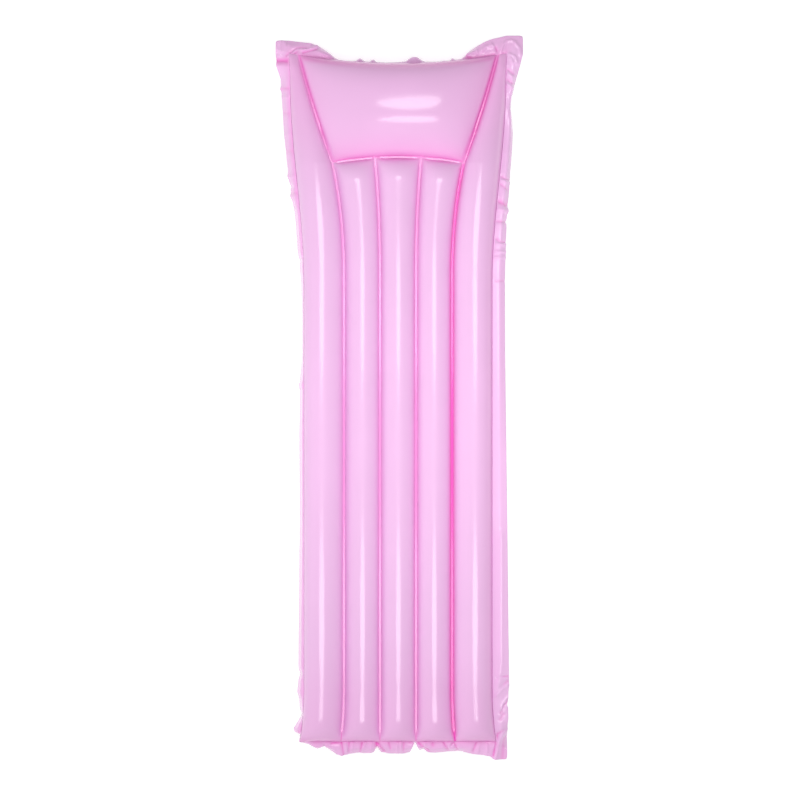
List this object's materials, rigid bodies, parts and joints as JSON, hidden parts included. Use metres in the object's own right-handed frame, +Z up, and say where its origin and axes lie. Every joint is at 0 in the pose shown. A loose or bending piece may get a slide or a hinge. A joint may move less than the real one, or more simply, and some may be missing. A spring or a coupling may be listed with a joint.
{
  "type": "inflatable pool float",
  "caption": "Inflatable lying float of welded vinyl film: lengthwise air tubes, a pillow at the head, a flange all round, and push-in valves with hinged plugs underneath.",
  "frame": {"origin": "on the floor, under the middle of the outline", "axes": "+Z up, +Y along the tubes towards the pillow, +X across"},
  "size_m": [0.5998, 1.7418, 0.1209],
  "materials": {
    "film_vinyl": "gloss",
    "valve_vinyl": "satin",
    "plug_vinyl": "satin",
    "flap_vinyl": "matte"
  },
  "bodies": {
    "float": {"upper_sheet": "film_vinyl", "lower_sheet": "film_vinyl", "tube_valve_base": "valve_vinyl", "tube_valve_skirt": "valve_vinyl", "pillow_valve_base": "valve_vinyl", "pillow_valve_skirt": "valve_vinyl"},
    "tube_stem": {"tube_valve_stem": "valve_vinyl"},
    "tube_plug": {"tube_valve_plug": "plug_vinyl", "tube_valve_strap": "plug_vinyl"},
    "tube_flap": {"tube_valve_flap": "flap_vinyl"},
    "pillow_stem": {"pillow_valve_stem": "valve_vinyl"},
    "pillow_plug": {"pillow_valve_plug": "plug_vinyl", "pillow_valve_strap": "plug_vinyl"},
    "pillow_flap": {"pillow_valve_flap": "flap_vinyl"}
  },
  "joints": [
    {"name": "tube_stem_slide", "type": "slide", "parent": "float", "child": "tube_stem", "axis": [0.8056, 0, -0.5925], "range_m": [0, 0.012], "deforming": ["tube_valve_skirt"]},
    {"name": "tube_plug_hinge", "type": "hinge", "parent": "tube_stem", "child": "tube_plug", "pos_m": [0.21825, -0.4395, 0.02257], "axis": [0.5925, 0, 0.8056], "range_deg": [0, 150]},
    {"name": "tube_flap_hinge", "type": "hinge", "parent": "tube_stem", "child": "tube_flap", "pos_m": [0.20299, -0.4556, 0.0338], "axis": [0.5925, 0, 0.8056], "range_deg": [0, 70], "stiffness_Nm_per_rad": 0.0001},
    {"name": "pillow_stem_slide", "type": "slide", "parent": "float", "child": "pillow_stem", "axis": [-0.09, 0.3906, -0.9162], "range_m": [0, 0.012], "deforming": ["pillow_valve_skirt"]},
    {"name": "pillow_plug_hinge", "type": "hinge", "parent": "pillow_stem", "child": "pillow_plug", "pos_m": [-0.12292, 0.77553, 0.01983], "axis": [0, -0.9199, -0.3922], "range_deg": [0, 150]},
    {"name": "pillow_flap_hinge", "type": "hinge", "parent": "pillow_stem", "child": "pillow_flap", "pos_m": [-0.13725, 0.76756, 0.03852], "axis": [0, -0.9199, -0.3922], "range_deg": [0, 70], "stiffness_Nm_per_rad": 0.0001}
  ]
}
